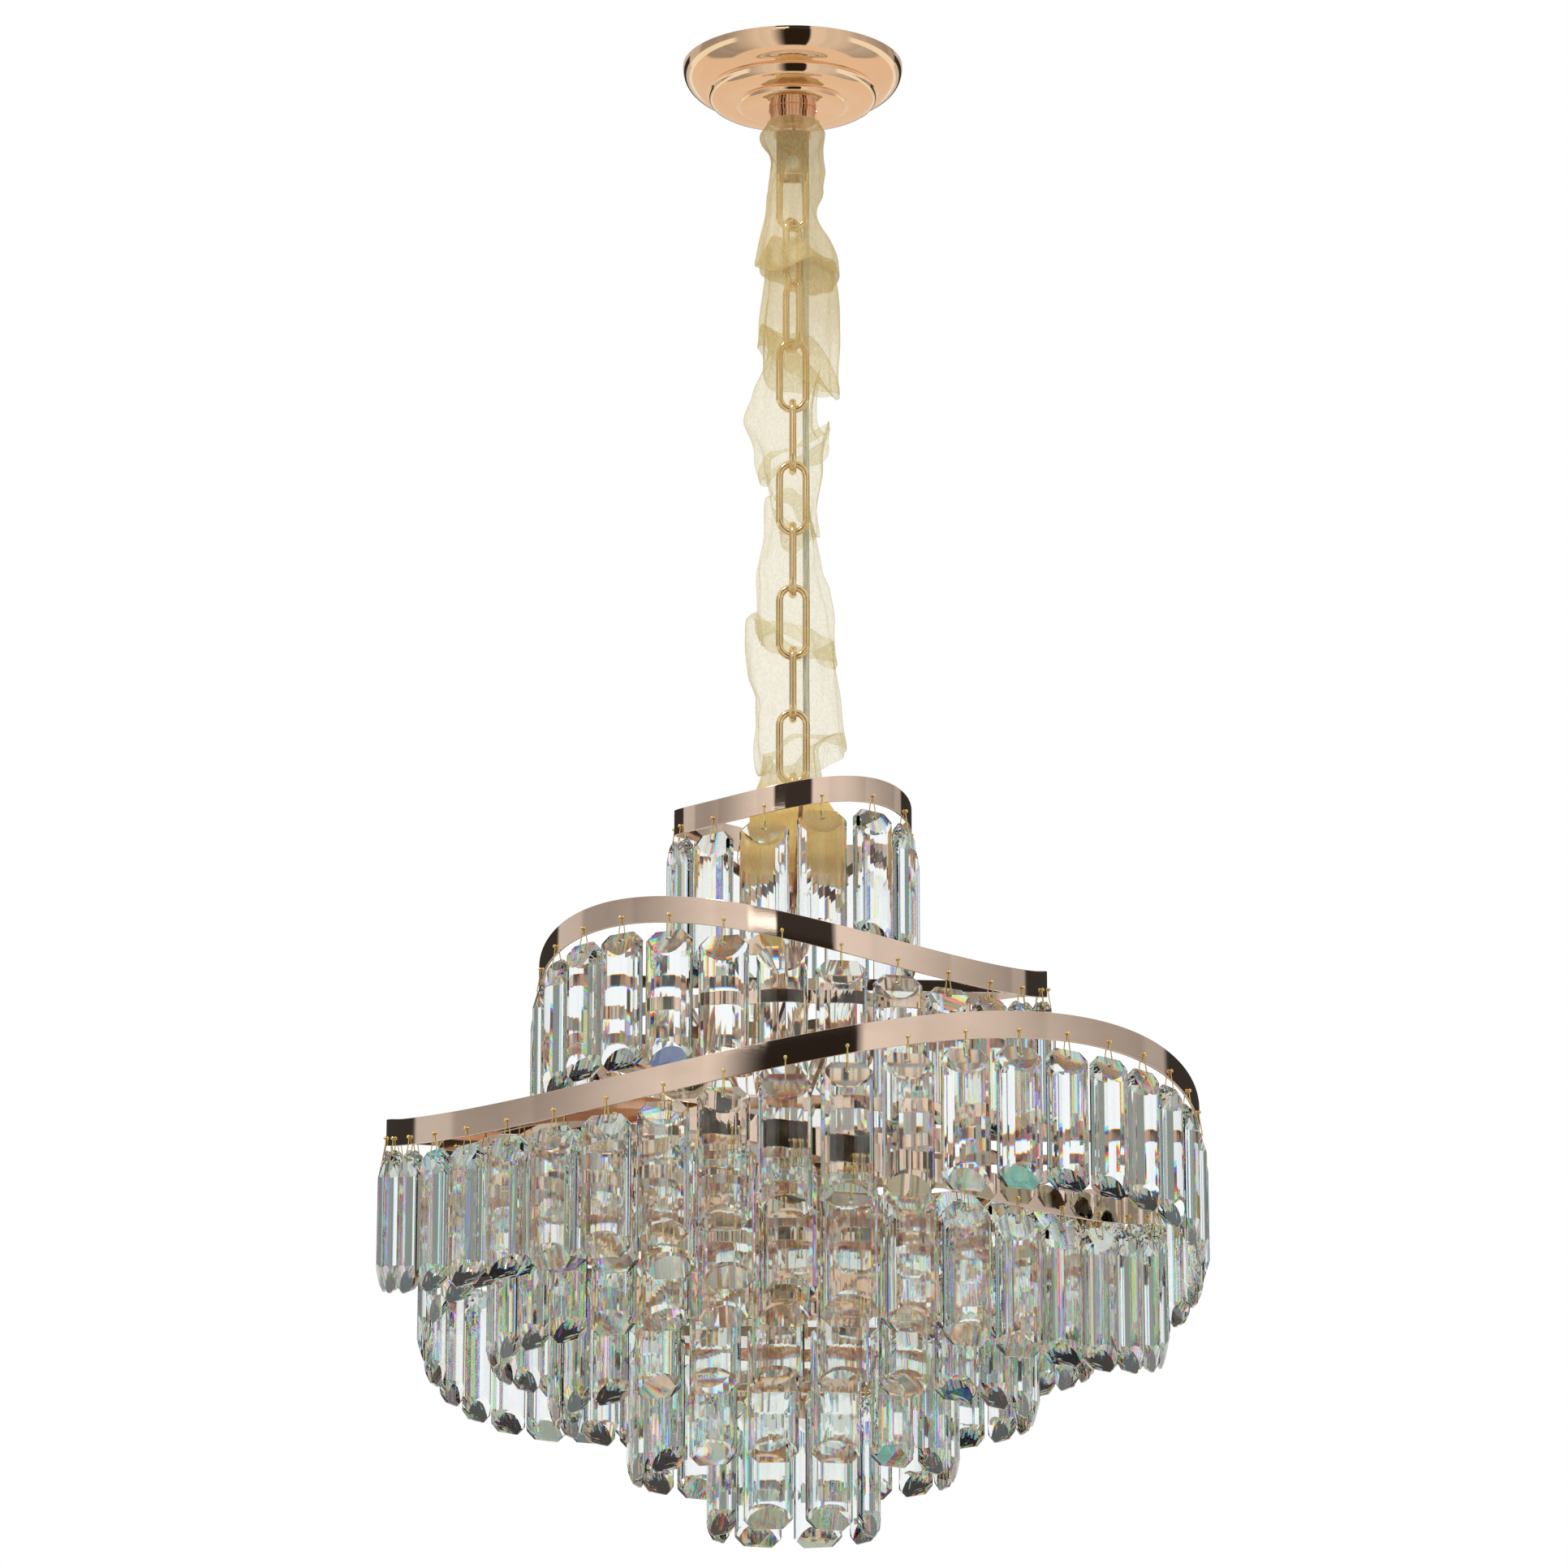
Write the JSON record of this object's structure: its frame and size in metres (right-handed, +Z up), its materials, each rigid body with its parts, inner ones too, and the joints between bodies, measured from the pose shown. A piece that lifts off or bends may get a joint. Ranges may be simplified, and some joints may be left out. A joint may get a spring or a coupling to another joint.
{
  "type": "crystal chandelier",
  "caption": "Chain-hung chandelier of cut crystal bars on wavy polished hoops and stepped rings, with a sheer cloth sleeve round its chain and a stepped round ceiling canopy.",
  "frame": {"origin": "centre of the two ceiling screw slots, on the ceiling plane", "axes": "+Z up to the ceiling and along the hanging axis, -Y towards the front view, +X to the right"},
  "size_m": [0.5016, 0.5016, 0.936],
  "materials": {
    "rose_gold": "polished, rose-gold plated",
    "zinc_steel": "zinc plated",
    "pin_brass": "bright drawn wire",
    "crystal": "clear cut crystal, polished",
    "organza": "sheer woven",
    "cable_sheath": "clear sheath",
    "gland_plastic": "moulded",
    "terminal_plastic": "moulded",
    "candle_white": "satin",
    "holder_plastic": "moulded",
    "bulb_cap_metal": "rolled thread",
    "bulb_glass": "clear"
  },
  "bodies": {
    "ceiling_fixing": {"ceiling_bracket": "zinc_steel", "threaded_nipple": "zinc_steel", "nipple_nuts": "zinc_steel", "canopy_cover": "rose_gold", "knurled_collar": "rose_gold", "collar_lock_ring": "rose_gold", "hanger_flange": "rose_gold", "hanger_bracket": "rose_gold", "hanger_pin": "zinc_steel", "cable_gland": "gland_plastic", "terminal_block": "terminal_plastic", "supply_cable": "cable_sheath", "organza_sleeve": "organza"},
    "upper_chain": {"upper_chain_links": "rose_gold"},
    "lower_chain": {"lower_chain_links": "rose_gold"},
    "last_link": {"last_chain_link": "rose_gold"},
    "fixture": {"top_loop": "rose_gold", "column_cap": "rose_gold", "column_tube": "rose_gold", "column_end_nut": "rose_gold", "column_hubs": "rose_gold", "hoop_1": "rose_gold", "hoop_2": "rose_gold", "hoop_3": "rose_gold", "hoop_4": "rose_gold", "ring_5": "rose_gold", "ring_6": "rose_gold", "ring_7": "rose_gold", "ring_8": "rose_gold", "inner_rings": "rose_gold", "hoop_arms": "rose_gold", "ring_arms": "rose_gold", "inner_ring_arms": "rose_gold", "ring_nuts": "rose_gold", "hoop_pins": "pin_brass", "ring_pins": "pin_brass", "lamp_hub": "rose_gold", "lamp_arms": "rose_gold", "lamp_cups": "rose_gold", "candle_sleeves": "candle_white", "lampholders": "holder_plastic", "bulb_caps": "bulb_cap_metal", "bulbs": "bulb_glass", "lamp_dish": "rose_gold", "hoop_1_prisms": "crystal", "hoop_2_prisms": "crystal", "hoop_3_prisms": "crystal", "hoop_4_prisms": "crystal", "ring_5_prisms": "crystal", "ring_6_prisms": "crystal", "ring_7_prisms": "crystal"},
    "bottom_prism_1": {"bottom_prism_1": "crystal"},
    "bottom_prism_2": {"bottom_prism_2": "crystal"},
    "bottom_prism_3": {"bottom_prism_3": "crystal"},
    "bottom_prism_4": {"bottom_prism_4": "crystal"},
    "bottom_prism_5": {"bottom_prism_5": "crystal"},
    "bottom_prism_6": {"bottom_prism_6": "crystal"},
    "bottom_prism_7": {"bottom_prism_7": "crystal"},
    "bottom_prism_8": {"bottom_prism_8": "crystal"}
  },
  "joints": [
    {"name": "chain_sideways", "type": "hinge", "parent": "ceiling_fixing", "child": "upper_chain", "pos_m": [0, 0, -0.069], "axis": [0, 1, 0], "range_deg": [-15, 15], "deforming": ["organza_sleeve", "supply_cable"]},
    {"name": "chain_fore_aft", "type": "hinge", "parent": "upper_chain", "child": "lower_chain", "pos_m": [0, 0, -0.2297], "axis": [1, 0, 0], "range_deg": [-15, 15], "deforming": ["organza_sleeve", "supply_cable"]},
    {"name": "lamp_sideways", "type": "hinge", "parent": "lower_chain", "child": "last_link", "pos_m": [0, 0, -0.4307], "axis": [0, 1, 0], "range_deg": [-10, 10], "deforming": ["organza_sleeve", "supply_cable"]},
    {"name": "lamp_fore_aft", "type": "hinge", "parent": "last_link", "child": "fixture", "pos_m": [0, 0, -0.4709], "axis": [1, 0, 0], "range_deg": [-10, 10], "deforming": ["organza_sleeve", "supply_cable"]},
    {"name": "bottom_prism_1_swing", "type": "hinge", "parent": "fixture", "child": "bottom_prism_1", "pos_m": [0.02108, -0.04229, -0.859], "axis": [-0.8949, -0.4462, 0], "range_deg": [-6, 12]},
    {"name": "bottom_prism_2_swing", "type": "hinge", "parent": "fixture", "child": "bottom_prism_2", "pos_m": [0.04481, -0.01499, -0.859], "axis": [-0.3173, -0.9483, 0], "range_deg": [-6, 12]},
    {"name": "bottom_prism_3_swing", "type": "hinge", "parent": "fixture", "child": "bottom_prism_3", "pos_m": [0.04229, 0.02108, -0.859], "axis": [0.4462, -0.8949, 0], "range_deg": [-6, 12]},
    {"name": "bottom_prism_4_swing", "type": "hinge", "parent": "fixture", "child": "bottom_prism_4", "pos_m": [0.01499, 0.04481, -0.859], "axis": [0.9483, -0.3173, 0], "range_deg": [-6, 12]},
    {"name": "bottom_prism_5_swing", "type": "hinge", "parent": "fixture", "child": "bottom_prism_5", "pos_m": [-0.02108, 0.04229, -0.859], "axis": [0.8949, 0.4462, 0], "range_deg": [-6, 12]},
    {"name": "bottom_prism_6_swing", "type": "hinge", "parent": "fixture", "child": "bottom_prism_6", "pos_m": [-0.04481, 0.01499, -0.859], "axis": [0.3173, 0.9483, 0], "range_deg": [-6, 12]},
    {"name": "bottom_prism_7_swing", "type": "hinge", "parent": "fixture", "child": "bottom_prism_7", "pos_m": [-0.04229, -0.02108, -0.859], "axis": [-0.4462, 0.8949, 0], "range_deg": [-6, 12]},
    {"name": "bottom_prism_8_swing", "type": "hinge", "parent": "fixture", "child": "bottom_prism_8", "pos_m": [-0.01499, -0.04481, -0.859], "axis": [-0.9483, 0.3173, 0], "range_deg": [-6, 12]}
  ]
}
